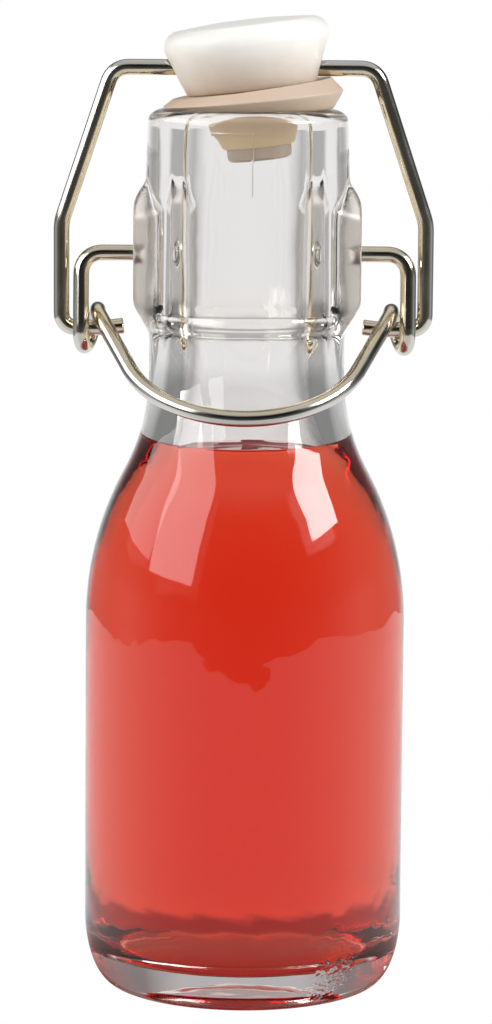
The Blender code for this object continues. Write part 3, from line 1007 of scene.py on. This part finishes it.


# White paint, with its light and shade painted in. What the bottle mirrors shows it lit evenly, less
# towards the front, with a painted dark red shadow near the foot. What the glass bends shows the bottle's
# own ragged shadow there, painted red for the light that has come through the drink. Seen directly it is as
# white as the room, so that no edge shows.
patch_size = 11.1
table_paint, tree = blank("table_white")
sight = put(tree, "ShaderNodeLightPath")
place = put(tree, "ShaderNodeTexCoord").outputs["Object"]
# Painted light: in what the bottle mirrors, the table is darker towards the front.
shaded = put(
    tree,
    "ShaderNodeValToRGB",
    {0: turned_away(tree, place)},
    stops=[(0.0, 0.68), (0.1, 0.72), (0.4, 1.0), (1.0, 0.95)],
)
near = put(tree, "ShaderNodeVectorMath", {0: place}, operation="LENGTH")
# Painted contact shadow: dark red within 20 to 45 mm of the foot, in what the bottle mirrors.
beyond = put(
    tree,
    "ShaderNodeMapRange",
    {"Value": near.outputs["Value"], "From Min": 20 * mm, "From Max": 45 * mm},
)
shaded = put(
    tree,
    "ShaderNodeMix",
    {"Factor": beyond.outputs[0], 6: linear("#aa554b"), 7: shaded.outputs["Color"]},
    data_type="RGBA",
)
mirrored_one = put(tree, "ShaderNodeEmission", {"Color": shaded.outputs[2], "Strength": 1.0})
# Painted shadow of the bottle in what the glass bends: ragged, red, and deepest at the foot.
patchy = put(
    tree, "ShaderNodeTexNoise", {"Vector": place, "Scale": 1 / (patch_size * mm), "Detail": 3.0}
)
ragged = put(
    tree,
    "ShaderNodeMath",
    {0: patchy.outputs["Fac"], 1: 12 * mm, 2: near.outputs["Value"]},
    operation="MULTIPLY_ADD",
)
shadow = put(
    tree,
    "ShaderNodeMapRange",
    {"Value": ragged.outputs[0], "From Min": 35 * mm, "From Max": 42 * mm},
)
foot = put(
    tree,
    "ShaderNodeMapRange",
    {"Value": near.outputs["Value"], "From Min": 15 * mm, "From Max": 22 * mm},
)
shade = put(
    tree,
    "ShaderNodeMix",
    {"Factor": foot.outputs[0], 6: linear("#a22721"), 7: linear("#b16f69")},
    data_type="RGBA",
)
under = put(
    tree,
    "ShaderNodeMix",
    {"Factor": shadow.outputs[0], 6: shade.outputs[2], 7: linear("#fafafa")},
    data_type="RGBA",
)
lit = put(tree, "ShaderNodeEmission", {"Color": under.outputs[2], "Strength": 1.0})
either = put(
    tree,
    "ShaderNodeMixShader",
    {0: plain_mirror(tree, sight), 1: lit.outputs[0], 2: mirrored_one.outputs[0]},
)
white = put(tree, "ShaderNodeEmission", {"Color": linear("#ffffff"), "Strength": 1.0})
both = put(
    tree,
    "ShaderNodeMixShader",
    {0: sight.outputs["Is Camera Ray"], 1: either.outputs[0], 2: white.outputs[0]},
)
put(tree, "ShaderNodeOutputMaterial", {"Surface": both.outputs[0]})
table = bpy.data.objects.new("table", table_mesh())
table.data.materials.append(table_paint)
bpy.context.scene.collection.objects.link(table)

# The room: white straight behind and dark beyond the backdrop's sides. In front and overhead it is dark in
# what the bottle mirrors and pale in what the glass bends. Seen directly it is white all round.
room = bpy.data.worlds.new("room")
room.use_nodes = True
room.node_tree.nodes.clear()
tree = room.node_tree
sight = put(tree, "ShaderNodeLightPath")
heading = put(tree, "ShaderNodeTexCoord").outputs["Generated"]
away = turned_away(tree, heading)
mirror_view = put(
    tree,
    "ShaderNodeValToRGB",
    {0: away},
    stops=[(0.0, 0.05), (0.2, 0.12), (0.5, 0.5), (0.72, 0.2), (0.92, 0.25), (0.98, 0.9)],
)
clear_view = put(
    tree,
    "ShaderNodeValToRGB",
    {0: away},
    stops=[(0.0, 0.7), (0.3, 0.6), (0.5, 0.8), (0.62, 0.8), (0.73, 0.4), (0.93, 0.4), (0.98, 0.87)],
)
lift = put(tree, "ShaderNodeSeparateXYZ", {"Vector": heading}).outputs["Z"]
dusk = put(
    tree, "ShaderNodeValToRGB", {0: lift}, stops=[(0.0, 1.0), (0.1, 0.5), (0.3, 0.15), (1.0, 0.1)]
)
ceiling = put(tree, "ShaderNodeValToRGB", {0: lift}, stops=[(0.6, 0.0), (0.8, 0.6)])
mirror_level = put(
    tree,
    "ShaderNodeMath",
    {0: mirror_view.outputs["Color"], 1: dusk.outputs["Color"], 2: ceiling.outputs["Color"]},
    operation="MULTIPLY_ADD",
)
fall = put(
    tree,
    "ShaderNodeMapRange",
    {"Value": lift, "From Min": -0.04, "From Max": 0.14, "To Min": 1.0, "To Max": 0.55},
)
scattered = put(
    tree,
    "ShaderNodeMapRange",
    {"Value": sight.outputs["Is Diffuse Ray"], "To Min": 1.0, "To Max": 0.7},
)
fall = put(tree, "ShaderNodeMath", {0: fall.outputs[0], 1: scattered.outputs[0]}, operation="MULTIPLY")
clear_level = put(
    tree,
    "ShaderNodeMath",
    {0: clear_view.outputs["Color"], 1: fall.outputs[0]},
    operation="MULTIPLY",
)
# More than seven degrees below the horizon lies the rest of the table, which is bright.
floor_level = put(
    tree,
    "ShaderNodeMapRange",
    {"Value": lift, "From Min": -0.14, "From Max": -0.125, "To Min": 0.85, "To Max": 0.0},
)
clear_level = put(
    tree, "ShaderNodeMath", {0: clear_level.outputs[0], 1: floor_level.outputs[0]}, operation="MAXIMUM"
)
choice = put(
    tree,
    "ShaderNodeMix",
    {"Factor": plain_mirror(tree, sight), 2: clear_level.outputs[0], 3: mirror_level.outputs[0]},
    data_type="FLOAT",
)
dim = put(tree, "ShaderNodeBackground", {"Color": linear("#ffffff"), "Strength": choice.outputs[0]})
white = put(tree, "ShaderNodeBackground", {"Color": linear("#ffffff"), "Strength": 1.0})
both = put(
    tree,
    "ShaderNodeMixShader",
    {0: sight.outputs["Is Camera Ray"], 1: dim.outputs[0], 2: white.outputs[0]},
)
put(tree, "ShaderNodeOutputWorld", {"Surface": both.outputs[0]})
bpy.context.scene.world = room


def soft_light(name, azimuth, elevation, size, radiance):
    """Area light that faces the bottle's shoulder from so many degrees left of the front and up.

    Sizes are in metres. Its power is pi times its area times how bright it looks.
    """
    data = bpy.data.lights.new(name, "AREA")
    data.shape = "RECTANGLE"
    data.size, data.size_y = size
    data.energy = radiance * np.pi * size[0] * size[1]
    lamp = bpy.data.objects.new(name, data)
    left, up = np.radians(azimuth), np.radians(elevation)
    away = Vector((-np.sin(left) * np.cos(up), -np.cos(left) * np.cos(up), np.sin(up)))
    aim, distance = Vector((0.0, 0.0, 0.06)), 0.9
    lamp.location = aim + away * distance
    lamp.rotation_euler = away.to_track_quat("Z", "Y").to_euler()
    lamp.visible_camera = False
    bpy.context.scene.collection.objects.link(lamp)


soft_light("left_front_softbox", 58, 28, (0.62, 0.6), radiance=3.7)
soft_light("left_back_softbox", 98, 29, (0.64, 0.52), radiance=2.2)
soft_light("right_softbox", -71, 34, (0.44, 0.36), radiance=14.0)

# A long lens half a metre in front that looks down by eight degrees and is turned a little about its axis.
frame_height_pixels, focal_length_pixels = 1024, 4199
look_down, roll = np.radians(8.2565), np.radians(0.42)
eye = (0.00006, -0.5, 0.13)
lens = bpy.data.cameras.new("camera")
lens.sensor_fit = "VERTICAL"
lens.sensor_height = 24.0
lens.lens = lens.sensor_height * focal_length_pixels / frame_height_pixels
lens.clip_start = 0.01
camera = bpy.data.objects.new("camera", lens)
aimed = Matrix.Rotation(np.pi / 2 - look_down, 4, "X") @ Matrix.Rotation(roll, 4, "Z")
camera.matrix_world = Matrix.Translation(eye) @ aimed
bpy.context.scene.collection.objects.link(camera)
bpy.context.scene.camera = camera
bpy.context.scene.view_settings.view_transform = "Standard"
bpy.context.scene.cycles.max_bounces = 64
bpy.context.scene.cycles.transmission_bounces = 64
